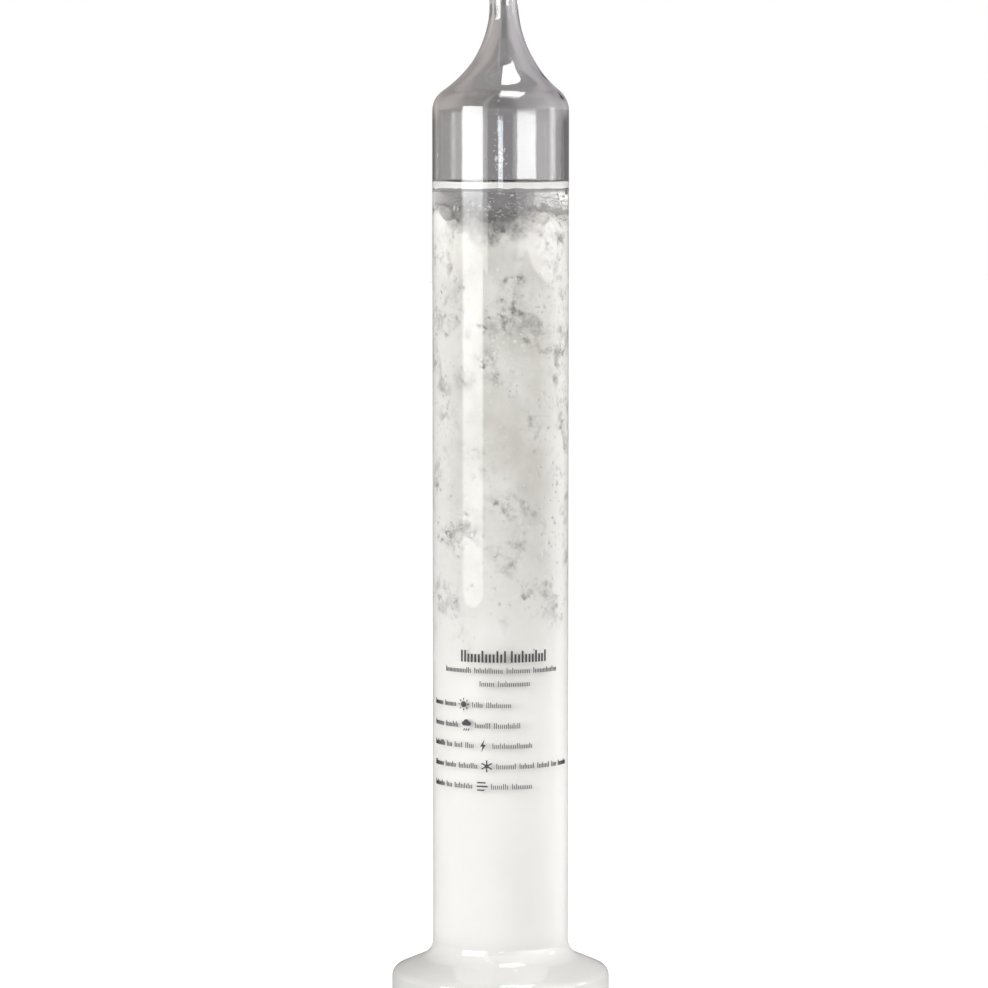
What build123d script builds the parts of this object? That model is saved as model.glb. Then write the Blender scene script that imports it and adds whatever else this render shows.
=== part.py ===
from build123d import *

import math
import os

# Storm glass: a sealed glass cylinder on a hollow flared foot, drawn out above into a narrow
# neck and flame-sealed. It is part filled with a camphor solution in which crystals grow, and a
# weather key is printed on its front. Millimetres, +Z up. The origin is the centre of the face
# that the foot rests on, and the key faces -Y.

# Glass vessel, outside sizes
tube_diameter = 35.2
foot_diameter = 56.5
shoulder_height = 239.8  # where the tube's side, run on, would meet the cone of the neck
neck_height = 40.2  # from there to the sealed tip
stem_diameter = 7.4
glass_wall = 1.2
foot_rim_height = 13.7  # where the foot's upright rim, run on, would meet its sloping top
foot_slope = 23.4  # degrees above level
neck_slope = 38.0  # degrees above level
seal_length = 6.0  # solid glass at the tip

# Roundings of the vessel's outside
heel_round = 2.0
rim_round = 2.4
foot_sweep = 5.0
shoulder_round = 6.5
neck_sweep_share = 0.95  # of the largest sweep that the cone of the neck has room for
tip_flat = 0.5  # diameter left flat on the rounded tip

# Hollow under the foot
rest_ring_width = 2.6  # flat ring that the vessel stands on
punt_rise = 4.0

# Solution and crystals
headspace = 23.0  # air, from the shoulder down to the solution's level
meniscus_rise = 1.9
film = 0.05  # thickness of the solution at the top of its meniscus
crystal_gap = 0.3  # solution between the crystals and the glass
heap_rim_height = 8.4  # where the crystal heap meets the side of the foot
heap_top_height = 20.8  # where it meets the bore of the tube
bed_height = 62.0
column_count = 3
clear_depth = 8.6  # clear solution below its level
crown_depth = 12.0  # scattered plates between the clear solution and the column
plate_width = 4.4  # across the corners of one crystal plate
plate_thickness = 0.7
plate_count = 13
crown_inset = 4.2  # from the bore to the middle of the outermost plates

# Loose crystals, each free to drift up and down: distance in from the bore, azimuth, rest depth
# under the solution's level
loose_crystals = [
    (3.6, 258.0, 4.6),
    (4.0, 213.0, 5.0),
    (3.2, 312.0, 4.4),
    (4.2, 50.0, 4.6),
    (3.8, 128.0, 5.0),
]
loose_width = 2.6
loose_thickness = 0.5
drift_down = 2.0
drift_up = 1.8
drift_clearance = 0.2

# Printed weather key
ink = 0.12
key_base_height = 63.8  # middle of the lowest row
row_pitch = 5.25
row_start = -21.6  # arc length from the front, +X side positive
mark_height = 0.85
mark_gap = 0.8
symbol_size = 3.2
heading_height = 3.0
heading_rise = 12.5  # from the top row's middle to the heading's middle
subheading_rise = 8.9
note_rise = 5.5
heading_start = -11.0
heading_marks = [12.6, 10.4]
subheading_start = -16.2
subheading_marks = [8.4, 7.6, 6.4, 8.0]
note_start = -5.6
note_marks = [4.0, 8.6]
# Dashes before and after each row's symbol
row_marks = {
    "wind": ([4.8, 2.2, 5.6], [4.6, 5.6]),
    "snow": ([4.4, 4.0, 5.6], [5.2, 4.2, 4.0, 2.0, 4.2]),
    "thunder": ([5.0, 2.0, 2.6, 2.6], [10.6]),
    "rain": ([4.6, 4.6], [4.2, 7.0]),
    "fair": ([4.2, 4.2], [3.0, 6.6]),
}

# Worked out from the sizes above
tube_radius = tube_diameter / 2
foot_radius = foot_diameter / 2
stem_radius = stem_diameter / 2
bore_radius = tube_radius - glass_wall
total_height = shoulder_height + neck_height
slope_top = foot_rim_height + (foot_radius - tube_radius) * math.tan(math.radians(foot_slope))
stem_start = shoulder_height + (tube_radius - stem_radius) * math.tan(math.radians(neck_slope))
cone_length = (tube_radius - stem_radius) / math.cos(math.radians(neck_slope))
cone_tangent = math.tan(math.radians(90 - neck_slope) / 2)  # length along the cone per radius
neck_sweep = neck_sweep_share * cone_length / cone_tangent - shoulder_round
ring_outer = foot_radius - heel_round
ring_inner = ring_outer - rest_ring_width
tube_bottom = slope_top + foot_sweep
tube_top = shoulder_height - shoulder_round
tip_bottom = total_height - seal_length
liquid_level = shoulder_height - headspace
crown_top = liquid_level - clear_depth
column_top = crown_top - crown_depth
GOLDEN_ANGLE = 180 * (3 - math.sqrt(5))


def slab(low, high):
    """A block that holds everything of the vessel between two heights."""
    side = 2 * foot_diameter
    return Pos(0, 0, low) * Box(side, side, high - low, align=(Align.CENTER, Align.CENTER, Align.MIN))


def turned(face):
    """The solid that the right-hand half of a face in the XZ plane sweeps about Z."""
    right_half = Plane.XZ * Rectangle(foot_diameter, 4 * total_height, align=(Align.MIN, Align.CENTER))
    return revolve(face & right_half, axis=Axis.Z)


def vessel_section():
    """Section through the whole vessel as if it were solid glass."""
    side = FilletPolyline(
        (ring_inner, 0),
        (foot_radius, 0),
        (foot_radius, foot_rim_height),
        (tube_radius, slope_top),
        (tube_radius, shoulder_height),
        (stem_radius, stem_start),
        (stem_radius, total_height),
        (0, total_height),
        radius=[
            heel_round,
            rim_round,
            foot_sweep,
            shoulder_round,
            neck_sweep,
            stem_radius - tip_flat / 2,
        ],
    )
    punt = ThreePointArc((-ring_inner, 0), (0, punt_rise), (ring_inner, 0))
    return make_face([side, mirror(side, about=Plane.YZ), punt])


def vessel_solid(inset):
    """The vessel's outer shape drawn in by an inset all round."""
    section = vessel_section()
    if inset:
        section = offset(section, amount=-inset)
    return turned(Plane.XZ * section)


def meniscus_cut():
    """What is missing above the solution: flat in the middle, curling up at the glass."""
    air = Cylinder(
        bore_radius - film, 2 * headspace, align=(Align.CENTER, Align.CENTER, Align.MIN)
    )
    bottom_edge = air.edges().filter_by(GeomType.CIRCLE).sort_by(Axis.Z)[0]
    return Pos(0, 0, liquid_level) * fillet(bottom_edge, meniscus_rise)


def heap_solid():
    """Outer limit of the crystal bed: a heap in the foot that narrows into the tube."""
    outline = Polyline(
        (0, 0),
        (foot_radius, 0),
        (foot_radius, heap_rim_height),
        (bore_radius, heap_top_height),
        (bore_radius, bed_height),
        (0, bed_height),
        close=True,
    )
    return revolve(Plane.XZ * make_face(outline), axis=Axis.Z)


def crystal_plate(width, thickness):
    """One thin six-sided crystal, lying flat at the origin."""
    return extrude(RegularPolygon(width / 2, 6), amount=thickness / 2, both=True)


def crown_plates():
    """Plates scattered through the top of the crystals, each turned its own way."""
    plates = []
    step = (crown_depth - plate_width) / (plate_count - 1)
    inner_radius = 0.5 * (bore_radius - crown_inset)
    for i in range(plate_count):
        radius = inner_radius if i % 3 == 2 else bore_radius - crown_inset
        height = column_top + plate_width / 2 + i * step
        tilt = 35 + 25 * math.sin(2.4 * i)
        plate = Rot(tilt, 0, 50 * i) * crystal_plate(plate_width, plate_thickness)
        plates.append(Rot(0, 0, i * GOLDEN_ANGLE) * Pos(radius, 0, height) * plate)
    return plates


def loose_place(inset, azimuth, depth):
    return Rot(0, 0, azimuth) * Pos(bore_radius - inset, 0, liquid_level - depth)


def loose_channel(inset, azimuth, depth):
    """The room that a loose crystal sweeps through as it drifts."""
    height = drift_down + drift_up + loose_width + 2 * drift_clearance
    middle = Pos(0, 0, (drift_up - drift_down) / 2)
    radius = loose_width / 2 + drift_clearance
    return loose_place(inset, azimuth, depth) * middle * Cylinder(radius, height)


def wrapped(shape, place, middle):
    """A flat shape as ink on the tube, its middle at an arc length beside the front and a height."""
    band = Cylinder(tube_radius + ink, 2 * symbol_size) - Cylinder(tube_radius, 2 * symbol_size)
    print_block = extrude(Plane.XZ * shape, amount=2 * tube_radius)
    turn = math.degrees(place / tube_radius)
    return Rot(0, 0, turn) * Pos(0, 0, middle) * (print_block & band)


def dash(length, height):
    """A bar with round ends, as wide when seen square on as its arc length makes it."""
    width = 2 * tube_radius * math.sin(length / (2 * tube_radius))
    return SlotOverall(width, height)


def fair_symbol(size):
    """A sun: a disc and eight rays."""
    rays = [
        Rot(0, 0, 45 * i) * Pos(0.42 * size, 0) * Rectangle(0.17 * size, 0.08 * size)
        for i in range(8)
    ]
    return [Circle(0.24 * size), *rays]


def rain_symbol(size):
    """A cloud of three lobes over three drops."""
    lobes = [(-0.22, 0.0, 0.18), (0.0, 0.1, 0.24), (0.24, 0.0, 0.17)]
    cloud = Pos(0, -0.09 * size) * Rectangle(0.5 * size, 0.18 * size)
    for x, y, radius in lobes:
        cloud += Pos(x * size, y * size) * Circle(radius * size)
    drops = [
        Pos(x * size, -0.38 * size) * Rot(0, 0, -20) * Rectangle(0.08 * size, 0.2 * size)
        for x in (-0.2, 0, 0.2)
    ]
    return [Pos(0, 0.12 * size) * cloud, *drops]


def thunder_symbol(size):
    """A bolt."""
    corners = [(0.12, 0.5), (-0.22, -0.06), (-0.02, -0.06), (-0.12, -0.5), (0.24, 0.1), (0.04, 0.1)]
    return [make_face(Polyline(*[(x * size, y * size) for x, y in corners], close=True))]


def snow_symbol(size):
    """A star of three crossed bars with a hexagon at its middle."""
    star = RegularPolygon(0.17 * size, 6)
    for turn in (0, 60, 120):
        star += Rot(0, 0, turn) * Rectangle(0.1 * size, 0.96 * size)
    return [star]


def wind_symbol(size):
    """Three streaks."""
    streaks = [(0.0, 0.28, 0.7), (0.06, 0.0, 0.9), (-0.06, -0.28, 0.6)]
    return [
        Pos(x * size, y * size) * SlotOverall(long * size, 0.13 * size) for x, y, long in streaks
    ]


def printed_dashes(start, lengths, middle, height):
    """Dashes one after another, and the arc length at which the next one would start."""
    pieces = []
    for length in lengths:
        pieces.append(wrapped(dash(length, height), start + length / 2, middle))
        start += length + mark_gap
    return pieces, start


def glass_pieces():
    solid_glass = vessel_solid(0)
    vessel = solid_glass - vessel_solid(glass_wall)
    core_height = punt_rise + 2 * glass_wall
    floor_core = Cylinder(ring_outer, core_height, align=(Align.CENTER, Align.CENTER, Align.MIN))
    foot = vessel & slab(0, tube_bottom)
    return {
        "foot_floor": foot & floor_core,
        "foot_shell": foot - floor_core,
        "glass_tube": vessel & slab(tube_bottom, tube_top),
        "drawn_neck": vessel & slab(tube_top, tip_bottom),
        "seal_tip": solid_glass & slab(tip_bottom, total_height),
    }


def crystal_pieces():
    room = vessel_solid(glass_wall + crystal_gap)
    pieces = {"crystal_bed": room & heap_solid()}
    step = (column_top - bed_height) / column_count
    for i in range(column_count):
        low = bed_height + i * step
        pieces[f"crystal_column_{i + 1}"] = room & slab(low, low + step)
    pieces["crystal_crown"] = Compound(children=crown_plates())
    return pieces


def loose_pieces():
    pieces = {}
    for i, place in enumerate(loose_crystals):
        tilt = Rot(90, 25 * (i - 2), 0)
        plate = crystal_plate(loose_width, loose_thickness)
        pieces[f"loose_crystal_{i + 1}"] = loose_place(*place) * tilt * plate
    return pieces


def liquid_piece(crystals):
    liquid = vessel_solid(glass_wall) & slab(0, liquid_level + meniscus_rise)
    liquid -= meniscus_cut()
    for crystal in crystals.values():
        for solid in crystal.solids():
            liquid -= solid
    for place in loose_crystals:
        liquid -= loose_channel(*place)
    return {"storm_liquid": liquid}


def printed_pieces():
    symbols = {
        "wind": wind_symbol,
        "snow": snow_symbol,
        "thunder": thunder_symbol,
        "rain": rain_symbol,
        "fair": fair_symbol,
    }
    pieces = {}
    for i, (name, (before, after)) in enumerate(row_marks.items()):
        middle = key_base_height + i * row_pitch
        row, symbol_start = printed_dashes(row_start, before, middle, mark_height)
        for shape in symbols[name](symbol_size):
            row.append(wrapped(shape, symbol_start + symbol_size / 2, middle))
        next_start = symbol_start + symbol_size + mark_gap
        row += printed_dashes(next_start, after, middle, mark_height)[0]
        pieces[f"print_{name}_row"] = row
    top_row = key_base_height + (len(row_marks) - 1) * row_pitch
    lines = {
        "print_heading": (heading_start, heading_marks, heading_rise, heading_height),
        "print_subheading": (subheading_start, subheading_marks, subheading_rise, mark_height),
        "print_note": (note_start, note_marks, note_rise, mark_height),
    }
    for name, (start, lengths, rise, height) in lines.items():
        pieces[name] = printed_dashes(start, lengths, top_row + rise, height)[0]
    return {name: Compound(children=marks) for name, marks in pieces.items()}


crystals = crystal_pieces()
nodes = {
    **glass_pieces(),
    **liquid_piece(crystals),
    **crystals,
    **loose_pieces(),
    **printed_pieces(),
}

os.makedirs("parts", exist_ok=True)
for name, shape in nodes.items():
    export_step(shape, f"parts/{name}.step")
    print(name, len(shape.solids()), round(sum(solid.volume for solid in shape.solids()), 2))
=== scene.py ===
import math
import bpy
import numpy as np
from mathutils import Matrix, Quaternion, Vector


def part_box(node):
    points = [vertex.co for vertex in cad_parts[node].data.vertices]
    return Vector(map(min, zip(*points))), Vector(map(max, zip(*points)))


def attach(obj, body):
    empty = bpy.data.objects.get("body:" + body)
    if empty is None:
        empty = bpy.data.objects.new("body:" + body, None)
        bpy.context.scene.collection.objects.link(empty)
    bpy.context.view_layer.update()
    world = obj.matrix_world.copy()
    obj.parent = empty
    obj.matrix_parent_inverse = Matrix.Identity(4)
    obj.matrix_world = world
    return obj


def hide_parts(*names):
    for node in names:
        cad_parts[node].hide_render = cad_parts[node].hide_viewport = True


# The visual model of a storm glass: clear blown glass, a clear solution, white crystals and a
# printed key. Lengths are metres, and MM turns millimetres into them.

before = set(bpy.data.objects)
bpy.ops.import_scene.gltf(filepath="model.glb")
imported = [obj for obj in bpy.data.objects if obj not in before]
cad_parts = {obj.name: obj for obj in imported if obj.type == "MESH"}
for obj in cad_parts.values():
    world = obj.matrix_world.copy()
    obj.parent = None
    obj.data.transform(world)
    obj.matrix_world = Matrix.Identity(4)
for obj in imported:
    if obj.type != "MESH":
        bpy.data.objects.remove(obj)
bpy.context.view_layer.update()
MM = 0.001

# Places read from the frame
tube_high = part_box("glass_tube")[1]
foot_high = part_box("foot_shell")[1]
tip_low, tip_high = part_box("seal_tip")
TUBE_RADIUS = tube_high.x
FOOT_RADIUS = foot_high.x
STEM_RADIUS = tip_high.x
TOTAL_HEIGHT = tip_high.z
FLOOR_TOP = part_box("foot_floor")[1].z
SOLUTION_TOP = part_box("storm_liquid")[1].z
COLUMN_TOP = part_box("crystal_column_3")[1].z
CROWN_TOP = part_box("crystal_crown")[1].z
LOOSE_CRYSTALS = [f"loose_crystal_{i}" for i in range(1, 6)]

# Sizes of the glass that the boxes don't give
WALL = 1.2 * MM
HEEL_ROUND = 2.0 * MM
RIM_ROUND = 2.4 * MM
FOOT_SWEEP = 5.0 * MM
SHOULDER_ROUND = 6.5 * MM
NECK_SWEEP = 27.86 * MM
FOOT_SLOPE = math.radians(23.4)
NECK_SLOPE = math.radians(38.0)
RING_WIDTH = 2.6 * MM
SEAL_LENGTH = tip_high.z - tip_low.z
MENISCUS_RISE = 1.9 * MM
MENISCUS_REACH = 1.0 * MM
BORE = TUBE_RADIUS - WALL
PUNT_RISE = FLOOR_TOP - WALL
SHOULDER = tube_high.z + SHOULDER_ROUND
LIQUID_LEVEL = SOLUTION_TOP - MENISCUS_RISE
RIM_HEIGHT = foot_high.z - FOOT_SWEEP - (FOOT_RADIUS - TUBE_RADIUS) * math.tan(FOOT_SLOPE)
RING_INNER = FOOT_RADIUS - HEEL_ROUND - RING_WIDTH
PUNT_BALL = (RING_INNER * RING_INNER + PUNT_RISE * PUNT_RISE) / (2 * PUNT_RISE)
WETTING = 0.05 * MM  # the solution reaches this far into the glass, so that no air shows between

# How finely the round pieces are cut
GLASS_SEGMENTS = 160
MASS_SEGMENTS = 300
SURFACE_SEGMENTS = 240
LONGEST_EDGE = 3 * MM

rng = np.random.default_rng(11)


# ---------------------------------------------------------------- nodes and materials
def new_material(name):
    material = bpy.data.materials.new(name)
    material.use_nodes = True
    tree = material.node_tree
    return material, tree, tree.nodes["Principled BSDF"]


def add_node(tree, kind, **settings):
    node = tree.nodes.new(kind)
    for name, value in settings.items():
        setattr(node, name, value)
    return node


def place_on_piece(tree):
    """Where a point is on its piece, from the one node that a material's textures share."""
    coords = tree.nodes.get("Texture Coordinate") or tree.nodes.new("ShaderNodeTexCoord")
    return coords.outputs["Object"]


def noise(tree, scale, detail=3.0, roughness=0.5):
    node = add_node(tree, "ShaderNodeTexNoise")
    node.inputs["Scale"].default_value = scale
    node.inputs["Detail"].default_value = detail
    node.inputs["Roughness"].default_value = roughness
    tree.links.new(place_on_piece(tree), node.inputs["Vector"])
    return node.outputs["Fac"]


def ramp(tree, value, stops):
    """A colour that follows a value through stops of (place, colour)."""
    node = add_node(tree, "ShaderNodeValToRGB")
    band = node.color_ramp
    while len(band.elements) < len(stops):
        band.elements.new(0.5)
    for element, (place, colour) in zip(band.elements, stops):
        element.position = place
        element.color = (*colour, 1.0)
    tree.links.new(value, node.inputs["Fac"])
    return node.outputs["Color"]


def grey_ramp(tree, value, stops):
    """A ramp of plain shares, for roughness and for strengths."""
    return ramp(tree, value, [(place, (share,) * 3) for place, share in stops])


def bump(tree, shader, height, strength, distance):
    node = add_node(tree, "ShaderNodeBump")
    node.inputs["Strength"].default_value = strength
    node.inputs["Distance"].default_value = distance
    tree.links.new(height, node.inputs["Height"])
    tree.links.new(node.outputs["Normal"], shader.inputs["Normal"])


def clear_material(name, ior, specular, tint, roughness_low, roughness_high, ripple):
    """A clear dielectric that lets lamp light through to what is inside it."""
    material, tree, shader = new_material(name)
    shader.inputs["Base Color"].default_value = (*tint, 1.0)
    shader.inputs["Transmission Weight"].default_value = 1.0
    shader.inputs["IOR"].default_value = ior
    shader.inputs["Specular IOR Level"].default_value = specular
    smear = grey_ramp(tree, noise(tree, 90, 4), [(0.35, roughness_low), (0.8, roughness_high)])
    tree.links.new(smear, shader.inputs["Roughness"])
    bump(tree, shader, noise(tree, 55, 2), ripple, 0.4 * MM)
    path = tree.nodes.new("ShaderNodeLightPath")
    clear = tree.nodes.new("ShaderNodeBsdfTransparent")
    mix = tree.nodes.new("ShaderNodeMixShader")
    tree.links.new(path.outputs["Is Shadow Ray"], mix.inputs[0])
    tree.links.new(shader.outputs[0], mix.inputs[1])
    tree.links.new(clear.outputs[0], mix.inputs[2])
    tree.links.new(mix.outputs[0], tree.nodes["Material Output"].inputs["Surface"])
    return material


def between(tree, value, none_at, full_at):
    """A smooth change from 0 at one value to 1 at another, which may be the lower one."""
    node = add_node(tree, "ShaderNodeMapRange", interpolation_type="SMOOTHSTEP")
    node.inputs["From Min"].default_value = none_at
    node.inputs["From Max"].default_value = full_at
    tree.links.new(value, node.inputs["Value"])
    return node.outputs["Result"]


def calculated(tree, operation, *values):
    """The result of a maths node; each value may be a number or an output."""
    node = add_node(tree, "ShaderNodeMath", operation=operation)
    for socket, value in zip(node.inputs, values):
        if isinstance(value, float):
            socket.default_value = value
        else:
            tree.links.new(value, socket)
    return node.outputs[0]


def times(tree, a, b):
    return calculated(tree, "MULTIPLY", a, b)


def blended(tree, share, first, second):
    """One colour turning into another; each may be a colour or an output."""
    node = add_node(tree, "ShaderNodeMix", data_type="RGBA")
    tree.links.new(share, node.inputs["Factor"])
    for name, value in ((6, first), (7, second)):
        if isinstance(value, tuple):
            node.inputs[name].default_value = (*value, 1.0)
        else:
            tree.links.new(value, node.inputs[name])
    return node.outputs[2]


def crystal_finish(tree, shader, grain):
    """A half-matt camphor surface with a fine grain."""
    gloss = grey_ramp(tree, noise(tree, 900, 2), [(0.3, 0.35), (0.7, 0.6)])
    tree.links.new(gloss, shader.inputs["Roughness"])
    shader.inputs["Specular IOR Level"].default_value = 0.2
    bump(tree, shader, noise(tree, 1400, 3), grain, 0.1 * MM)


def crystal_material(name, dark, light, grain):
    """Camphor flakes, clouded between a darker and a lighter tone."""
    material, tree, shader = new_material(name)
    clouds = ramp(tree, noise(tree, 110, 5, 0.6), [(0.36, dark), (0.62, light)])
    tree.links.new(clouds, shader.inputs["Base Color"])
    crystal_finish(tree, shader, grain)
    return material


# Where each change in the look of the imported crystals starts and where it is complete; the changes
# include painted light and painted shade.
# All are heights, apart from the pair for the painted light at the sides, which are distances to the
# left or right of the middle.
CLOUDING = (62 * MM, 150 * MM)
# Painted light: the crystals turn lighter towards their left and right edges, as if lit from the
# sides; the next two pairs say where
PAINTED_LIGHT_SIDES = (9 * MM, 16 * MM)
PAINTED_LIGHT_HEIGHTS = (60 * MM, 100 * MM)
FOOT_SHADE = (26 * MM, 15 * MM)
LOOSENING = (92 * MM, 122 * MM)
# Painted shade: the crown of the packed crystals turns dark between these heights, standing in for the
# dark studio seen through the clear solution above them
PAINTED_CROWN_SHADE = (209 * MM, 220 * MM)
PAINTED_CROWN_SHADE_MIDDLE = -1.5 * MM  # the dark patch at the crown is centred a little to the left
PAINTED_CROWN_SHADE_ARCH = -50.0  # it starts higher at the sides: this times the distance squared joins the height
PAINTED_CROWN_SHADE_WAVER = 20 * MM  # and noise brings it down by up to this much


def packed_crystal_material():
    """Packed camphor: plain white low down but for painted shade at the foot, then cloudy, with
    painted light at its left and right sides and clustered specks of painted shade, and painted shade
    at the crown.
    """
    material, tree, shader = new_material("packed_crystal")
    split = tree.nodes.new("ShaderNodeSeparateXYZ")
    tree.links.new(place_on_piece(tree), split.inputs[0])
    sideways, height = split.outputs["X"], split.outputs["Z"]
    plain = ramp(
        tree, noise(tree, 60, 3), [(0.3, (0.90, 0.886, 0.858)), (0.7, (0.93, 0.918, 0.892))]
    )
    cloudy = ramp(
        tree, noise(tree, 75, 6, 0.6),
        [(0.32, (0.60, 0.583, 0.54)), (0.5, (0.69, 0.673, 0.628)), (0.66, (0.78, 0.768, 0.73))],
    )
    white = blended(tree, between(tree, height, *CLOUDING), plain, cloudy)
    from_middle = calculated(tree, "ABSOLUTE", sideways)
    at_the_sides = between(tree, from_middle, *PAINTED_LIGHT_SIDES)
    painted_side_light = times(tree, at_the_sides, between(tree, height, *PAINTED_LIGHT_HEIGHTS))
    # Painted light: a pale tone at the left and right sides stands in for light falling on them from
    # the sides
    white = blended(tree, painted_side_light, white, (0.86, 0.848, 0.822))
    white = blended(tree, between(tree, height, *FOOT_SHADE), white, (0.66, 0.65, 0.63))
    # Painted shade: dark specks with grey halos round them, in clusters where the packing loosens,
    # stand in for the shade in pits and gaps between the crystals
    cluster = between(tree, noise(tree, 105, 3), 0.46, 0.62)
    painted_halo_shade = times(tree, cluster, between(tree, noise(tree, 260, 5, 0.65), 0.42, 0.7))
    painted_speck_shade = times(tree, cluster, between(tree, noise(tree, 430, 4, 0.6), 0.52, 0.72))
    loose = between(tree, height, *LOOSENING)
    with_halo_shade = blended(tree, times(tree, painted_halo_shade, loose), white, (0.42, 0.405, 0.38))
    with_speck_shade = blended(tree, times(tree, painted_speck_shade, loose), with_halo_shade, (0.20, 0.185, 0.17))
    # Painted shade at the crown, centred, arched and wavering as set above
    across = calculated(tree, "ADD", sideways, -PAINTED_CROWN_SHADE_MIDDLE)
    squared = times(tree, across, across)
    arched = calculated(tree, "MULTIPLY_ADD", squared, PAINTED_CROWN_SHADE_ARCH, height)
    wavy = calculated(tree, "MULTIPLY_ADD", noise(tree, 240, 6, 0.7), PAINTED_CROWN_SHADE_WAVER, arched)
    with_crown_shade = blended(tree, between(tree, wavy, *PAINTED_CROWN_SHADE), with_speck_shade, (0.155, 0.145, 0.14))
    tree.links.new(with_crown_shade, shader.inputs["Base Color"])
    crystal_finish(tree, shader, 0.06)
    return material


def ink_material():
    material, tree, shader = new_material("printed_ink")
    shade = ramp(
        tree, noise(tree, 1500, 3), [(0.3, (0.035, 0.035, 0.038)), (0.75, (0.07, 0.07, 0.074))]
    )
    tree.links.new(shade, shader.inputs["Base Color"])
    gloss = grey_ramp(tree, noise(tree, 2500, 2), [(0.3, 0.5), (0.7, 0.75)])
    tree.links.new(gloss, shader.inputs["Roughness"])
    bump(tree, shader, noise(tree, 4000, 2), 0.2, 0.03 * MM)
    return material


GLASS_IOR, SOLUTION_IOR = 1.47, 1.36
GLASS_TINT, SOLUTION_TINT = (0.985, 0.992, 0.99), (0.995, 0.993, 0.985)
# Where glass and solution touch, both sides have no reflection of their own
GLASS = clear_material("clear_glass", GLASS_IOR, 0.5, GLASS_TINT, 0.0, 0.02, 0.05)
WETTED_GLASS = clear_material("wetted_glass", GLASS_IOR, 0.0, GLASS_TINT, 0.0, 0.02, 0.02)
SOLUTION = clear_material("solution", SOLUTION_IOR, 0.5, SOLUTION_TINT, 0.0, 0.01, 0.03)
SOLUTION_SIDE = clear_material("solution_side", SOLUTION_IOR, 0.0, SOLUTION_TINT, 0.0, 0.01, 0.02)
PACKED_CRYSTAL = packed_crystal_material()
CRYSTAL_FLAKE = crystal_material("crystal_flake", (0.60, 0.59, 0.565), (0.76, 0.75, 0.725), 0.1)
PALE_CRYSTAL = crystal_material("pale_crystal", (0.86, 0.85, 0.83), (0.91, 0.90, 0.885), 0.1)
# The thin flakes over the crown are dark: partly because thin flakes show the dark solution through
# them, partly painted shade for the dim place they sit in
THIN_CRYSTAL_PAINTED_SHADE = crystal_material("thin_crystal_painted_shade", (0.22, 0.21, 0.20), (0.66, 0.65, 0.63), 0.0)
INK = ink_material()


# ---------------------------------------------------------------- meshes
def added(name, data):
    """A new object in the scene."""
    thing = bpy.data.objects.new(name, data)
    bpy.context.scene.collection.objects.link(thing)
    return thing


def mesh_piece(name, verts, faces, materials, body, nodes=(), smooth=True, face_slots=None):
    mesh = bpy.data.meshes.new(name)
    mesh.from_pydata(np.asarray(verts, float).tolist(), [], faces)
    mesh.update()
    for material in materials:
        mesh.materials.append(material)
    mesh.polygons.foreach_set("use_smooth", [smooth] * len(mesh.polygons))
    if face_slots is not None:
        mesh.polygons.foreach_set("material_index", face_slots)
    piece = added(name, mesh)
    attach(piece, body)
    if nodes:
        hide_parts(*nodes)
    return piece


def rounded(corners, step=0.25 * MM, turn_step=math.radians(6)):
    """Points along an outline of (r, z, radius) corners, with arcs at the corners."""
    points = [np.array(corners[0][:2], float)]
    for before, here, after in zip(corners, corners[1:], corners[2:]):
        corner = np.array(here[:2], float)
        to_before = np.array(before[:2]) - corner
        to_after = np.array(after[:2]) - corner
        to_before /= np.linalg.norm(to_before)
        to_after /= np.linalg.norm(to_after)
        half = math.acos(np.clip(to_before @ to_after, -1, 1)) / 2
        radius = here[2]
        reach = radius / math.tan(half)
        start = corner + to_before * reach
        bisector = (to_before + to_after) / np.linalg.norm(to_before + to_after)
        centre = corner + bisector * radius / math.sin(half)
        turn = math.pi - 2 * half
        count = max(2, round(turn / turn_step), round(turn * radius / (4 * step)))
        arm = start - centre
        side = np.sign(to_before[0] * to_after[1] - to_before[1] * to_after[0])
        for i in range(count + 1):
            a = side * -turn * i / count
            c, s = math.cos(a), math.sin(a)
            points.append(centre + np.array([c * arm[0] - s * arm[1], s * arm[0] + c * arm[1]]))
    points.append(np.array(corners[-1][:2], float))
    return points


def subdivide(points, longest):
    """The same outline with no stretch longer than a length."""
    out = [points[0]]
    for a, b in zip(points, points[1:]):
        count = max(1, math.ceil(np.linalg.norm(b - a) / longest))
        out += [a + (b - a) * i / count for i in range(1, count + 1)]
    return out


def lathe(profile, segments, inward=False):
    """Vertices and faces of an outline turned about Z; ends on the axis become fans."""
    verts, rings = [], []
    for r, z in profile:
        if r < 1e-7:
            rings.append([len(verts)])
            verts.append((0.0, 0.0, z))
            continue
        rings.append(list(range(len(verts), len(verts) + segments)))
        for i in range(segments):
            a = 2 * math.pi * i / segments
            verts.append((r * math.cos(a), r * math.sin(a), z))
    faces = []
    for low, high in zip(rings, rings[1:]):
        for i in range(segments):
            j = (i + 1) % segments
            if len(low) == 1:
                face = (low[0], high[j], high[i])
            elif len(high) == 1:
                face = (low[i], low[j], high[0])
            else:
                face = (low[i], low[j], high[j], high[i])
            faces.append(face[::-1] if inward else face)
    return verts, faces


# Large odd numbers that scramble a lattice cell's place and a seed into a random value
CELL_PRIMES = (73856093, 19349663, 83492791)
SEED_PRIME = 2654435761
MIX_PRIME = 1274126177
LARGEST = 0x7FFFFFFF


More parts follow.
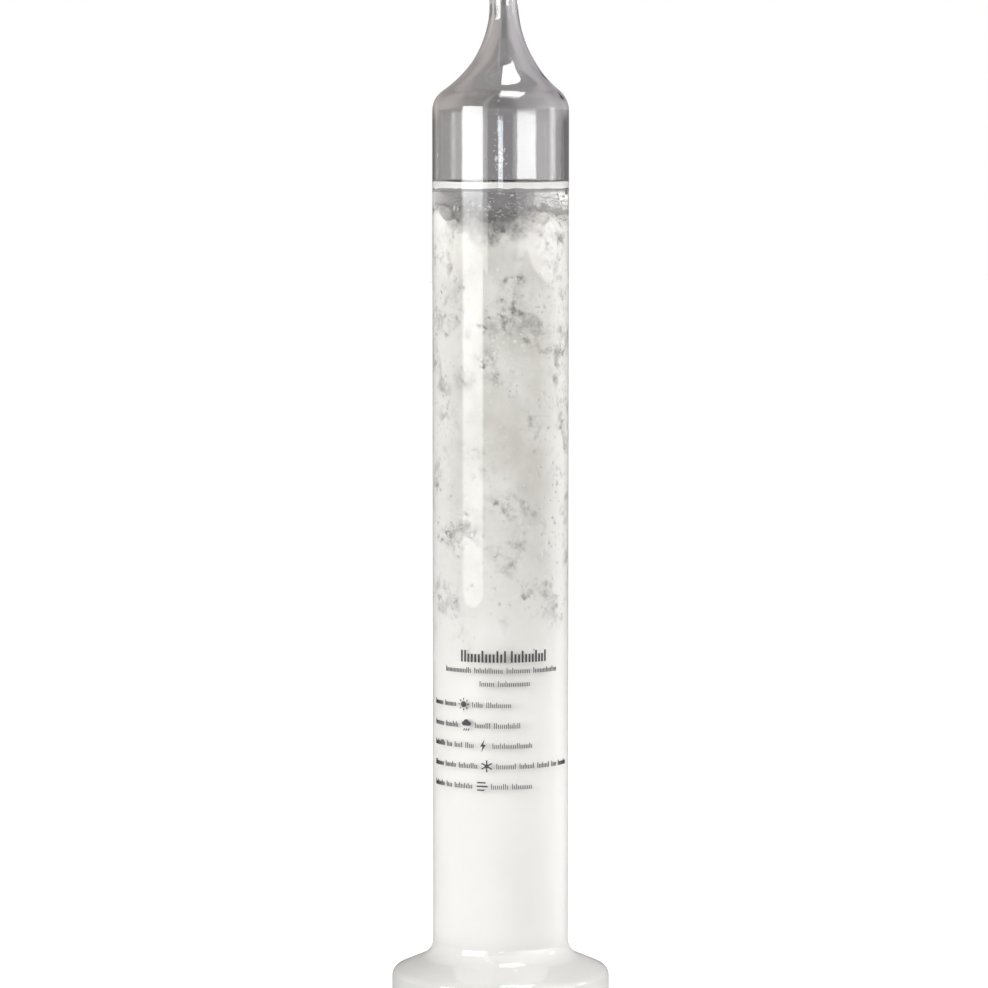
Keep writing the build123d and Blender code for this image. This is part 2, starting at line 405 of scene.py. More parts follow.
def lattice_noise(points, size, seed):
    """Smooth random values from 0 to 1 at points, with features of a given size."""
    p = np.asarray(points, float) / size
    cell = np.floor(p).astype(np.int64)
    f = p - cell
    f = f * f * (3 - 2 * f)
    total = np.zeros(len(p))
    for corner in np.ndindex(2, 2, 2):
        k = cell + corner
        h = np.bitwise_xor.reduce(k * CELL_PRIMES, axis=1) ^ (seed * SEED_PRIME)
        h = ((h ^ (h >> 13)) * MIX_PRIME) & LARGEST
        weight = np.prod(np.where(corner, f, 1 - f), axis=1)
        total += weight * (h / LARGEST)
    return total


def cloud_noise(points, size, seed, octaves=3):
    """Lattice noise with finer and weaker noise added to it."""
    total, amount, weight = 0.0, 0.0, 1.0
    for i in range(octaves):
        total = total + weight * lattice_noise(points, size / 2**i, seed + i)
        amount += weight
        weight *= 0.5
    return total / amount


# ---------------------------------------------------------------- glass vessel
def vessel_outline(inset):
    """The vessel's outline, drawn in by an inset: the floor, then up the side to the tip."""
    foot, tube, stem = FOOT_RADIUS - inset, TUBE_RADIUS - inset, STEM_RADIUS - inset
    rim = RIM_HEIGHT - inset / math.cos(FOOT_SLOPE) + inset * math.tan(FOOT_SLOPE)
    slope_top = rim + (foot - tube) * math.tan(FOOT_SLOPE)
    shoulder = SHOULDER - inset / math.cos(NECK_SLOPE) + inset * math.tan(NECK_SLOPE)
    stem_start = shoulder + (tube - stem) * math.tan(NECK_SLOPE)
    top = TOTAL_HEIGHT - (SEAL_LENGTH if inset else 0.0)
    dome_edge = math.asin(RING_INNER / PUNT_BALL)
    dome = [
        np.array([PUNT_BALL * math.sin(a), PUNT_RISE + inset - PUNT_BALL + PUNT_BALL * math.cos(a)])
        for a in np.linspace(0, dome_edge, 24)
    ]
    side = rounded(
        [
            (dome[-1][0], inset, 0),
            (foot, inset, HEEL_ROUND - inset),
            (foot, rim, RIM_ROUND - inset),
            (tube, slope_top, FOOT_SWEEP + inset),
            (tube, shoulder, SHOULDER_ROUND - inset),
            (stem, stem_start, NECK_SWEEP + inset),
            (stem, top, 0.96 * stem),
            (0, top, 0),
        ]
    )
    return subdivide(dome[:-1] + side, LONGEST_EDGE)


# How unevenly the neck was drawn: how deep its outer and inner faces wave, and how far it leans
OUTER_WAVE = 0.06 * MM
INNER_WAVE = 0.28 * MM
LEAN_HEIGHTS = [SHOULDER, SHOULDER + 9 * MM, SHOULDER + 20 * MM, TOTAL_HEIGHT]
LEANS = [0.0, 0.8 * MM, 0.9 * MM, 0.3 * MM]


def build_glass():
    """One closed skin outside and one inside, as blown glass is, with the neck a little uneven."""
    outer_verts, outer_faces = lathe(vessel_outline(0.0), GLASS_SEGMENTS)
    inner_verts, inner_faces = lathe(vessel_outline(WALL), GLASS_SEGMENTS, inward=True)
    outer, inner = np.array(outer_verts), np.array(inner_verts)
    for verts, depth, seed in ((outer, OUTER_WAVE, 3), (inner, INNER_WAVE, 9)):
        blown = np.clip((verts[:, 2] - (SHOULDER - 4 * MM)) / (6 * MM), 0, 1)
        push = depth * blown * cloud_noise(verts, 6 * MM, seed, 2)
        if verts is inner:
            push = push - 0.5 * depth * blown
        radius = np.hypot(verts[:, 0], verts[:, 1])
        verts[:, :2] *= (1 - push / np.maximum(radius, 1 * MM))[:, None]
        verts[:, 0] += np.interp(verts[:, 2], LEAN_HEIGHTS, LEANS)
    faces = outer_faces + [tuple(i + len(outer) for i in face) for face in inner_faces]
    verts = np.vstack([outer, inner])
    wet = [0] * len(outer_faces)
    for face in inner_faces:
        highest = max(inner[i, 2] for i in face)
        wet.append(1 if highest < SOLUTION_TOP + 0.1 * MM else 0)
    glass_nodes = ("glass_tube", "drawn_neck", "seal_tip", "foot_shell", "foot_floor")
    mesh_piece(
        "glass_vessel", verts, faces, [GLASS, WETTED_GLASS], "vessel", glass_nodes,
        face_slots=wet,
    )


def build_solution():
    """The solution, clinging to the glass in a curved meniscus round its level surface."""
    outline = [p for p in vessel_outline(WALL - WETTING) if p[1] < LIQUID_LEVEL]
    wall = outline[-1][0]
    rise = [
        np.array([wall - d, LIQUID_LEVEL + MENISCUS_RISE * math.exp(-d / MENISCUS_REACH)])
        for d in np.concatenate([np.linspace(0, 1, 9) ** 2 * 5 * MM, [9 * MM]])
    ]
    sides = subdivide(outline + [rise[0]], LONGEST_EDGE)
    profile = sides + rise[1:] + [np.array([0.0, LIQUID_LEVEL])]
    verts, faces = lathe(profile, GLASS_SEGMENTS)
    side_faces = GLASS_SEGMENTS * (len(sides) - 1)
    face_slots = [1] * side_faces + [0] * (len(faces) - side_faces)
    mesh_piece(
        "clear_solution", verts, faces, [SOLUTION, SOLUTION_SIDE], "vessel",
        ("storm_liquid",), face_slots=face_slots,
    )


# ---------------------------------------------------------------- crystals
HEAP_RIM = 8.4 * MM  # the mass is as wide as the foot up to here
HEAP_TOP = 20.8 * MM  # and as narrow as the tube from here up
CRYSTAL_REACH = BORE - 0.3 * MM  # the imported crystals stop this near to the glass
HEAP_REACH = FOOT_RADIUS - 2.2 * MM
MASS_STEP = 0.35 * MM  # height between one ring of the mass and the next


def openness(z):
    """How loosely the crystals are packed, from 0 low in the glass to 1 at the top."""
    return np.interp(z, [95 * MM, 130 * MM, 190 * MM], [0.0, 0.6, 1.0])


def pit_share(points):
    """Pits come in clusters: 0 where there is none and 1 at the bottom of one."""
    cluster = cloud_noise(points, 9 * MM, 21, 2)
    fine = cloud_noise(points, 1.2 * MM, 33, 2)
    return np.clip((fine - 0.6) / 0.1, 0, 1) * np.clip((cluster - 0.5) / 0.08, 0, 1)


def mass_surface(angle, z):
    """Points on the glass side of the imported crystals, some of them in pits."""
    wide = np.interp(z, [0, HEAP_RIM, HEAP_TOP], [HEAP_REACH, HEAP_REACH, CRYSTAL_REACH])
    on_glass = np.stack([wide * np.cos(angle), wide * np.sin(angle), z], axis=1)
    loose = openness(z)
    pit = pit_share(on_glass) * loose
    swell = cloud_noise(on_glass, 6 * MM, 27)
    radius = wide - (0.2 + (0.1 + 0.4 * loose) * swell + 0.4 * pit) * MM
    return np.stack([radius * np.cos(angle), radius * np.sin(angle), z], axis=1)


def floor_height(radius):
    """How high the raised floor of the foot stands at a distance from the axis."""
    cap = math.sqrt(PUNT_BALL * PUNT_BALL - radius * radius)
    return WALL + max(0.0, PUNT_RISE - PUNT_BALL + cap)


def ring_angles(segments):
    return np.linspace(0, 2 * math.pi, segments, endpoint=False)


def laced(ring_count, segments):
    """Faces from each ring of vertices to the next."""
    faces = []
    for a in range(0, (ring_count - 1) * segments, segments):
        b = a + segments
        for i in range(segments):
            j = (i + 1) % segments
            faces.append((a + i, a + j, b + j, b + i))
    return faces


def mass_band(low, high, on_floor):
    """A closed band of the mass between two heights, its ends on vertices of their own."""
    segments = MASS_SEGMENTS
    angles = ring_angles(segments)
    rings = []
    if on_floor:
        for r in np.linspace(2 * MM, HEAP_REACH - 0.6 * MM, 16):
            height = np.full(segments, floor_height(r) + 0.3 * MM)
            rings.append(np.stack([r * np.cos(angles), r * np.sin(angles), height], axis=1))
    rows = max(2, round((high - low) / MASS_STEP))
    rings += [mass_surface(angles, np.full(segments, z)) for z in np.linspace(low, high, rows + 1)]
    start = len(rings) * segments
    bottom = tuple(range(start, start + segments))[::-1]
    top = tuple(range(start + segments, start + 2 * segments))
    faces = laced(len(rings), segments) + [bottom, top]
    return np.vstack([*rings, rings[0], rings[-1]]), faces


FLAKE_SIDES = 6
FLAKE_TAPER = 0.82  # how wide a flake's upper face is beside its lower one


def flakes(centres, normals, widths, aspects, thickness, spins):
    """Thin six-sided plates, each about its own centre and facing its own way."""
    n = len(centres)
    helper = np.where(np.abs(normals[:, 2:3]) < 0.9, [[0.0, 0.0, 1.0]], [[1.0, 0.0, 0.0]])
    u = np.cross(helper, normals)
    u /= np.linalg.norm(u, axis=1)[:, None]
    v = np.cross(normals, u)
    c, s = np.cos(spins)[:, None], np.sin(spins)[:, None]
    u, v = c * u + s * v, c * v - s * u
    verts = np.empty((n, 2 * FLAKE_SIDES, 3))
    for k in range(FLAKE_SIDES):
        a = 2 * math.pi * k / FLAKE_SIDES
        long = (0.5 * widths * math.cos(a))[:, None]
        short = (0.5 * widths * aspects * math.sin(a))[:, None]
        rim = long * u + short * v
        verts[:, k] = centres + rim - 0.5 * thickness[:, None] * normals
        verts[:, FLAKE_SIDES + k] = centres + FLAKE_TAPER * rim + 0.5 * thickness[:, None] * normals
    k = np.arange(FLAKE_SIDES)
    following = (k + 1) % FLAKE_SIDES
    sides = np.stack([k, following, following + FLAKE_SIDES, k + FLAKE_SIDES], axis=1)
    base = (2 * FLAKE_SIDES * np.arange(n))[:, None]
    faces = []
    for side in sides:
        faces += (base + side).tolist()
    faces += (base + k[::-1]).tolist()
    faces += (base + k + FLAKE_SIDES).tolist()
    return verts.reshape(-1, 3), faces


# Flakes offered to each band of the mass, how far they tip from it, and their usual width
BAND_FLAKES = 1300
BAND_TILT = 0.16
BAND_FLAKE_WIDTH = 0.7 * MM


def scatter(low, high):
    """Flakes lying almost flat on the glass side of the mass, more of them where it is loose."""
    count = BAND_FLAKES
    angle = rng.uniform(0, 2 * math.pi, count)
    z = rng.uniform(low, high, count)
    keep = rng.uniform(0, 1, count) < openness(z)
    angle, z = angle[keep], z[keep]
    n = len(z)
    outward = np.stack([np.cos(angle), np.sin(angle), np.zeros(n)], axis=1)
    normals = outward + BAND_TILT * rng.normal(0, 1, (n, 3))
    normals /= np.linalg.norm(normals, axis=1)[:, None]
    widths = BAND_FLAKE_WIDTH * rng.lognormal(0, 0.35, n)
    centres = mass_surface(angle, z)
    thickness = widths * rng.uniform(0.06, 0.14, n)
    aspects = rng.uniform(0.45, 1.0, n)
    return flakes(centres, normals, widths, aspects, thickness, rng.uniform(0, 2 * math.pi, n))


def joined(*parts):
    """Several parts' vertices and faces as one."""
    verts, faces, start = [], [], 0
    for part_verts, part_faces in parts:
        verts.append(part_verts)
        faces += [tuple(i + start for i in face) for face in part_faces]
        start += len(part_verts)
    return np.vstack(verts), faces


def build_crystals():
    """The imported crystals, one band for each of their nodes."""
    for node in ("crystal_bed", "crystal_column_1", "crystal_column_2", "crystal_column_3"):
        low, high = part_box(node)[0].z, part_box(node)[1].z
        lowest = node == "crystal_bed"
        mass = mass_band(WALL + 0.5 * MM if lowest else low, high, lowest)
        plates = scatter(low + 0.5 * MM, high)
        verts, faces = joined(mass, plates)
        mesh_piece(
            node + "_mass", verts, faces, [PACKED_CRYSTAL, CRYSTAL_FLAKE], "vessel",
            (node,), face_slots=[0] * len(mass[1]) + [1] * len(plates[1]),
        )


STAR_ARMS = 6
STAR_REACH = 1.0 * MM
STAR_THICKNESS = 0.12 * MM
STAR_ASPECT = 0.45
ARM_FLAKES = 6


def feathered_star():
    """A flat star, each arm a row of flakes that get smaller, lying about the origin in XY."""
    n = ARM_FLAKES
    parts = []
    for k in range(STAR_ARMS):
        a = 2 * math.pi * k / STAR_ARMS
        out = np.array([math.cos(a), math.sin(a), 0.0])
        spots = np.linspace(0.12, 0.92, n)
        sizes = STAR_REACH * (0.34 - 0.2 * spots)
        centres = out * (STAR_REACH * spots)[:, None]
        normals = np.tile([0.0, 0.0, 1.0], (n, 1))
        aspects, thickness = np.full(n, STAR_ASPECT), np.full(n, STAR_THICKNESS)
        parts.append(flakes(centres, normals, sizes, aspects, thickness, np.full(n, a)))
    return joined(*parts)


def placed(part, turn, tilt, centre):
    """A part tipped about X, turned about Z and moved to a centre."""
    verts, faces = part
    c, s = math.cos(tilt), math.sin(tilt)
    tip = np.array([[1, 0, 0], [0, c, -s], [0, s, c]])
    c, s = math.cos(turn), math.sin(turn)
    spin = np.array([[c, -s, 0], [s, c, 0], [0, 0, 1]])
    return verts @ (spin @ tip).T + np.asarray(centre), faces


def track_distance(points):
    """How far each point is from the nearest loose crystal's path, seen from above."""
    boxes = [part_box(node) for node in LOOSE_CRYSTALS]
    paths = np.array([[(low.x + high.x) / 2, (low.y + high.y) / 2] for low, high in boxes])
    return np.linalg.norm(points[:, None, :2] - paths[None], axis=2).min(axis=1)


CROWN_RISE = 13.6 * MM  # the crown's height over the column before it is made ragged
CROWN_CURVE = 0.2  # how square the crown's side is: 1 is an ellipse and 0 a cylinder
CROWN_SLANT = 0.08  # its top falls to the right by this share of the distance
TRACK_RADIUS = 1.8 * MM  # room kept round the path of each loose crystal
TRACK_SLOPE = 1.5  # how steeply the crown rises outside it


def crown_core():
    """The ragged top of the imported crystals, carried up from the column in the same surface."""
    segments = MASS_SEGMENTS
    outline = [
        np.array([CRYSTAL_REACH * math.cos(a) ** CROWN_CURVE, CROWN_RISE * math.sin(a) ** CROWN_CURVE])
        for a in np.linspace(0, math.pi / 2, 60)[:-1]
    ]
    outline = subdivide([*outline, np.array([0.0, CROWN_RISE])], 0.4 * MM)[:-1]
    angles = ring_angles(segments)
    rings = []
    for r, rise in outline:
        ring = mass_surface(angles, np.full(segments, COLUMN_TOP + rise))
        ring[:, :2] *= r / CRYSTAL_REACH
        lumps = 8.0 * (cloud_noise(ring, 4.5 * MM, 51) - 0.5)
        ragged = lumps + 2.4 * (cloud_noise(ring, 1.2 * MM, 57, 2) - 0.5)
        ring[:, 2] += (rise / CROWN_RISE) ** 3 * (ragged * MM - CROWN_SLANT * ring[:, 0])
        room = np.maximum(track_distance(ring) - TRACK_RADIUS, 0.0)
        ring[:, 2] = np.minimum(ring[:, 2], CROWN_TOP - 0.3 * MM + TRACK_SLOPE * room)
        rings.append(ring)
    start = len(rings) * segments
    bottom = tuple(range(start, start + segments))[::-1]
    top = tuple(range(start - segments, start))
    return np.vstack([*rings, rings[0]]), laced(len(rings), segments) + [bottom, top]


CROWN_FLAKES = 5000  # offered; those in a clump are kept, and higher up only in a dense one
FLAKE_CLEARANCE = 2.0 * MM  # flakes above the CAD crown stay this far from a loose crystal's path


def build_crown():
    """Crystals thinning out above the column into the clear solution."""
    count = CROWN_FLAKES
    low, high = COLUMN_TOP + 3 * MM, LIQUID_LEVEL - 0.6 * MM
    z = low + (high - low) * rng.beta(1.7, 1.6, count)
    angle = rng.uniform(0, 2 * math.pi, count)
    radius = (CRYSTAL_REACH - 0.5 * MM) * rng.uniform(0.3, 1.0, count) ** 0.5
    centres = np.stack([radius * np.cos(angle), radius * np.sin(angle), z], axis=1)
    clumps = cloud_noise(centres, 4 * MM, 61)
    clear_of_tracks = (track_distance(centres) > FLAKE_CLEARANCE) | (z < CROWN_TOP - 1 * MM)
    centres = centres[(clumps > 0.3 + 0.28 * (z - low) / (high - low)) & clear_of_tracks]
    n = len(centres)
    normals = rng.normal(0, 1, (n, 3))
    normals /= np.linalg.norm(normals, axis=1)[:, None]
    widths = np.minimum(0.3 * rng.lognormal(0, 0.5, n), 1.2) * MM
    aspects = rng.uniform(0.6, 1.0, n)
    spins = rng.uniform(0, 2 * math.pi, n)
    plates = flakes(centres, normals, widths, aspects, 0.15 * widths, spins)
    core = crown_core()
    verts, faces = joined(core, plates)
    # The crown's flakes take the thin crystal tones, which hold painted shade
    mesh_piece(
        "crystal_crown_feathers", verts, faces, [PACKED_CRYSTAL, THIN_CRYSTAL_PAINTED_SHADE], "vessel",
        ("crystal_crown",),
        face_slots=[0] * len(core[1]) + [1] * len(plates[1]),
    )


def build_loose():
    """The crystals that drift, each turned and tipped its own way."""
    for i, node in enumerate(LOOSE_CRYSTALS, 1):
        low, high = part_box(node)
        turn, tilt = 0.9 * i, 1.2 + 0.3 * i
        verts, faces = placed(feathered_star(), turn, tilt, (low + high) / 2)
        mesh_piece(
            node + "_star", verts, faces, [CRYSTAL_FLAKE], f"drifting_crystal_{i}",
            (node,), smooth=False,
        )


def build_surface_ring():
    """Fine crystals held in the meniscus round the glass, which make it a white band."""
    segments = SURFACE_SEGMENTS
    angles = ring_angles(segments)
    around = np.stack([np.cos(angles), np.sin(angles), np.zeros(segments)], axis=1)
    # Distance in from the bore and height over the level, in millimetres; the low corners are ragged
    outline = [(0.12, 1.45), (0.12, 0.0), (0.5, 0.1), (0.34, 1.1)]
    verts = []
    for depth, rise in outline:
        ring = around * (BORE - depth * MM)
        ragged = cloud_noise(ring, 1.6 * MM, 71) - 0.5
        ring[:, 2] = LIQUID_LEVEL + (rise + (0.5 * ragged if rise < 0.5 else 0.0)) * MM
        verts.append(ring)
    n = len(outline)
    faces = []
    for k in range(n):
        a, b = k * segments, (k + 1) % n * segments
        for i in range(segments):
            j = (i + 1) % segments
            faces.append((a + i, b + i, b + j, a + j))
    mesh_piece(
        "surface_ring", np.vstack(verts), faces, [PALE_CRYSTAL], "vessel",
        smooth=False,
    )


# Patches of dried specks: degrees from the front and their spread, millimetres over the level and
# their spread, and how many specks there are
DEPOSITS = [
    (-2, 0.9, 17.0, 2.4, 26), (-1, 2.2, 8.0, 2.0, 110), (-1, 1.2, 3.6, 1.4, 22),
    (0, 14, 1.6, 0.7, 16), (-75, 4, 6.0, 2.6, 16), (76, 4, 7.0, 3.4, 22), (28, 2, 1.8, 1.0, 10),
]


def build_deposits():
    """Specks of camphor dried on the bore above the solution."""
    angles, heights = [], []
    for angle, spread, height, reach, count in DEPOSITS:
        angles.append(np.radians(rng.normal(angle, spread, count)))
        heights.append(LIQUID_LEVEL + MM * np.maximum(rng.normal(height, reach, count), 0.6))
    angle, z = np.concatenate(angles), np.concatenate(heights)
    n = len(z)
    outward = np.stack([np.sin(angle), -np.cos(angle), np.zeros(n)], axis=1)
    centres = outward * (BORE - 0.06 * MM)
    centres[:, 2] = z
    widths = np.clip(0.28 * rng.lognormal(0, 0.4, n), 0.12, 0.6) * MM
    aspects = rng.uniform(0.6, 1.0, n)
    spins = rng.uniform(0, 2 * math.pi, n)
    verts, faces = flakes(centres, outward, widths, aspects, np.full(n, 0.1 * MM), spins)
    mesh_piece(
        "wall_deposits", verts, faces, [CRYSTAL_FLAKE], "vessel", smooth=False
    )


# ---------------------------------------------------------------- lights, floor and camera
# What glass and crystals pick up round them, as degrees and a colour: 0 is in front of the
# object, 90 to its right and 180 behind it. The first list is for rays that are level or point
# down, and the second for rays that point up, which shape the look of the neck.
LEVEL_TONES = [
    (-180, (0.28, 0.265, 0.265)), (-166, (0.14, 0.13, 0.128)), (-161, (0.14, 0.13, 0.128)),
    (-152, (0.27, 0.26, 0.25)), (-130, (0.60, 0.58, 0.56)), (-112, (0.74, 0.70, 0.68)),
    (-72, (0.76, 0.72, 0.69)), (-35, (0.62, 0.60, 0.60)), (-32, (2.3, 2.3, 2.35)),
    (-24, (2.0, 2.0, 2.1)), (-21, (0.12, 0.13, 0.16)), (0, (0.09, 0.10, 0.13)),
    (22, (0.12, 0.13, 0.17)), (34, (1.5, 1.45, 1.50)), (70, (2.4, 2.3, 2.35)),
    (90, (2.0, 1.95, 1.98)), (104, (1.2, 1.2, 1.2)), (112, (0.6, 0.59, 0.6)),
    (135, (0.18, 0.17, 0.17)), (165, (0.17, 0.16, 0.165)), (180, (0.27, 0.255, 0.26)),
]
CLIMBING_TONES = [
    (-180, (0.20, 0.19, 0.19)), (-178.6, (0.23, 0.215, 0.21)), (-175, (0.40, 0.36, 0.35)),
    (-150, (0.46, 0.42, 0.41)), (-120, (0.62, 0.59, 0.57)), (-72, (0.64, 0.60, 0.58)),
    (-35, (0.50, 0.48, 0.48)), (-32, (1.9, 1.9, 1.95)), (-24, (1.6, 1.6, 1.7)),
    (-21, (0.12, 0.13, 0.16)), (0, (0.09, 0.10, 0.13)), (22, (0.12, 0.13, 0.16)),
    (34, (1.1, 1.06, 1.10)), (70, (1.9, 1.82, 1.86)), (104, (1.2, 1.2, 1.2)),
    (120, (0.62, 0.60, 0.61)), (150, (0.48, 0.45, 0.47)), (175, (0.42, 0.39, 0.41)),
    (178.6, (0.23, 0.22, 0.22)), (180, (0.20, 0.19, 0.19)),
]
CLIMB = (0.001, 0.02)  # how far up a ray points where the first list gives way to the second
OVERHEAD_DIM = [(0.12, 1.0), (0.4, 0.72)]  # the studio's strength by how far up a ray points


def build_world():
    """White behind the object, and a grey studio round it for glass and crystals to pick up."""
    world = bpy.data.worlds.new("studio")
    bpy.context.scene.world = world
    world.use_nodes = True
    tree = world.node_tree
    tree.nodes.clear()
    coords = tree.nodes.new("ShaderNodeTexCoord")
    split = tree.nodes.new("ShaderNodeSeparateXYZ")
    tree.links.new(coords.outputs["Generated"], split.inputs[0])
    forwards = calculated(tree, "MULTIPLY", split.outputs["Y"], -1.0)
    turn = calculated(tree, "ARCTAN2", split.outputs["X"], forwards)
    share = add_node(tree, "ShaderNodeMapRange")
    share.inputs["From Min"].default_value = -math.pi
    share.inputs["From Max"].default_value = math.pi
    tree.links.new(turn, share.inputs["Value"])
    level, climbing = (
        ramp(tree, share.outputs["Result"], [((a + 180) / 360, colour) for a, colour in tones])
        for tones in (LEVEL_TONES, CLIMBING_TONES)
    )
    studio = add_node(tree, "ShaderNodeBackground")
    tones = blended(tree, between(tree, split.outputs["Z"], *CLIMB), level, climbing)
    tree.links.new(tones, studio.inputs["Color"])
    overhead = grey_ramp(tree, split.outputs["Z"], OVERHEAD_DIM)
    tree.links.new(overhead, studio.inputs["Strength"])
    white = add_node(tree, "ShaderNodeBackground")
    white.inputs["Color"].default_value = (1, 1, 1, 1)
    path = tree.nodes.new("ShaderNodeLightPath")
    mix = tree.nodes.new("ShaderNodeMixShader")
    out = tree.nodes.new("ShaderNodeOutputWorld")
    tree.links.new(path.outputs["Is Camera Ray"], mix.inputs[0])
    tree.links.new(studio.outputs[0], mix.inputs[1])
    tree.links.new(white.outputs[0], mix.inputs[2])
    tree.links.new(mix.outputs[0], out.inputs["Surface"])


def flat_mesh(name, width, height):
    """A rectangle about the origin, facing up."""
    mesh = bpy.data.meshes.new(name)
    w, h = width / 2, height / 2
    mesh.from_pydata([(-w, -h, 0), (w, -h, 0), (w, h, 0), (-w, h, 0)], [], [(0, 1, 2, 3)])
    return mesh


def glow_panel(
    name, centre, facing, width, height, strength, colour=(1, 1, 1), falloff=None, spin=0.0
):
    """A bright panel that glass mirrors but that lights nothing and hides from the camera."""
    mesh = flat_mesh(name, width, height)
    material = bpy.data.materials.new(name)
    material.use_nodes = True
    tree = material.node_tree
    tree.nodes.clear()
    glow = tree.nodes.new("ShaderNodeEmission")
    glow.inputs["Color"].default_value = (*colour, 1.0)
    glow.inputs["Strength"].default_value = strength
    if falloff:
        coords = tree.nodes.new("ShaderNodeTexCoord")
        split = tree.nodes.new("ShaderNodeSeparateXYZ")
        tree.links.new(coords.outputs["Generated"], split.inputs[0])
        tree.links.new(grey_ramp(tree, split.outputs["Y"], falloff), glow.inputs["Color"])
    out = tree.nodes.new("ShaderNodeOutputMaterial")
    tree.links.new(glow.outputs[0], out.inputs["Surface"])
    mesh.materials.append(material)
    panel = added(name, mesh)
    panel.location = centre
    aim = (Vector(facing) - Vector(centre)).to_track_quat("Z", "Y")
    panel.rotation_euler = (aim @ Quaternion((0, 0, 1), math.radians(spin))).to_euler()
    panel.visible_camera = False
    panel.visible_diffuse = False
    panel.visible_shadow = False


def round_object(azimuth, distance, height):
    """A point round the object: azimuth 0 is in front of it, and 90 to its right."""
    a = math.radians(azimuth)
    return (distance * math.sin(a), -distance * math.cos(a), height)


def soft_lamp(name, centre, size_x, size_y, power):
    """A rectangular lamp aimed at the object, which no mirror or glass shows."""
    lamp = bpy.data.lights.new(name, "AREA")
    lamp.shape = "RECTANGLE"
    lamp.size, lamp.size_y = size_x, size_y
    lamp.energy = power
    holder = added(name, lamp)
    holder.location = centre
    aim = Vector((0, 0, AIM_HEIGHT)) - Vector(centre)
    holder.rotation_euler = aim.to_track_quat("-Z", "Y").to_euler()
    holder.visible_camera = False
    holder.visible_glossy = False
    holder.visible_transmission = False


AIM_HEIGHT = 0.2  # lamps point at this height on the axis
LIGHT_DISTANCE = 0.9
LAMP_SIZE = (0.6, 0.4)
# Each lamp round the object: degrees from the front, height and watts
SIDE_LAMPS = {
    "key_lamp": (-52, 0.22, 3.7),
    "fill_lamp": (48, 0.24, 3.7),
    "left_lamp": (-105, 0.32, 2.6),
    "right_lamp": (105, 0.34, 4.7),
}
# The left softbox gets darker from its top edge, at 1, down to its bottom edge, at 0
LEFT_FALLOFF = [
    (0.0, 0.17), (0.092, 0.2), (0.162, 0.25), (0.237, 0.34), (0.317, 0.32), (0.346, 0.45),
    (0.357, 0.65), (0.362, 1.0),
]


def build_lights():
    """Panels that the glass mirrors, and lamps that light the crystals."""
    left, right = round_object(-49.5, LIGHT_DISTANCE, 0.28), round_object(99, LIGHT_DISTANCE, 0.31)
    glow_panel("left_softbox", left, (0, 0, 0.28), 0.62, 0.52, 10.0, falloff=LEFT_FALLOFF)
    glow_panel("top_softbox", (0.16, -0.08, 1.0), (0, 0, 0.2), 0.34, 0.37, 14.0, spin=63.4)
    glow_panel(
        "front_window", (0.0, -1.6, 0.226), (0, 0, 0.226), 0.22, 0.06, 5.0, colour=(0.85, 0.92, 1.0)
    )
    glow_panel("right_softbox", right, (0, 0, 0.31), 0.17, 0.2, 3.6)
    for name, (azimuth, height, power) in SIDE_LAMPS.items():
        soft_lamp(name, round_object(azimuth, LIGHT_DISTANCE, height), *LAMP_SIZE, power)
    soft_lamp("overhead_lamp", (0.1, -0.1, 1.1), 0.7, 0.7, 0.5)


def build_floor():
    """A plain floor, pale to the camera through its own glow and mid grey to the object."""
    mesh = flat_mesh("floor", 12.0, 12.0)
    material, tree, shader = new_material("floor")
    shader.inputs["Base Color"].default_value = (0.40, 0.40, 0.40, 1)
    shader.inputs["Roughness"].default_value = 0.9
    shader.inputs["Emission Color"].default_value = (1, 1, 1, 1)
    path = tree.nodes.new("ShaderNodeLightPath")
    lift = calculated(tree, "MULTIPLY", path.outputs["Is Camera Ray"], 0.85)
    tree.links.new(lift, shader.inputs["Emission Strength"])
    mesh.materials.append(material)
    added("floor", mesh)


def build_camera():
    """Just below the shoulder's height and 1.2 m away, looking slightly down."""
    camera = bpy.data.cameras.new("camera")
    camera.lens = 169.4
    camera.sensor_width = 36.0
    camera.clip_start = 0.05
    holder = added("camera", camera)
    holder.location = (-0.0017, -1.2, 0.2307)
    holder.rotation_euler = (math.radians(90 - 4.43), 0, 0)
    bpy.context.scene.camera = holder


# ---------------------------------------------------------------- printed key
INK_TOP = TUBE_RADIUS + 0.12 * MM
INK_BASE = TUBE_RADIUS - 0.02 * MM
SYMBOL_SIZE = 3.2 * MM
WORD_GAP = 0.8 * MM
SHORT_TICK = 0.7  # a short tick's height beside a tall one's
TALL_SHARE = 0.2  # how many ticks are tall, apart from the first of each word
TICK_GAP = 0.22 * MM
# Start of each line round the tube, and the lengths of its words before and after its symbol, in
# millimetres
LINES = {
    "print_heading": (-11.0, [12.6, 10.4], []),
    "print_subheading": (-16.2, [8.4, 7.6, 6.4, 8.0], []),
    "print_note": (-5.6, [4.0, 8.6], []),
    "print_fair_row": (-21.6, [4.2, 4.2], [3.0, 6.6]),
    "print_rain_row": (-21.6, [4.6, 4.6], [4.2, 7.0]),
    "print_thunder_row": (-21.6, [5.0, 2.0, 2.6, 2.6], [10.6]),
    "print_snow_row": (-21.6, [4.4, 4.0, 5.6], [5.2, 4.2, 4.0, 2.0, 4.2]),
    "print_wind_row": (-21.6, [4.8, 2.2, 5.6], [4.6, 5.6]),
}


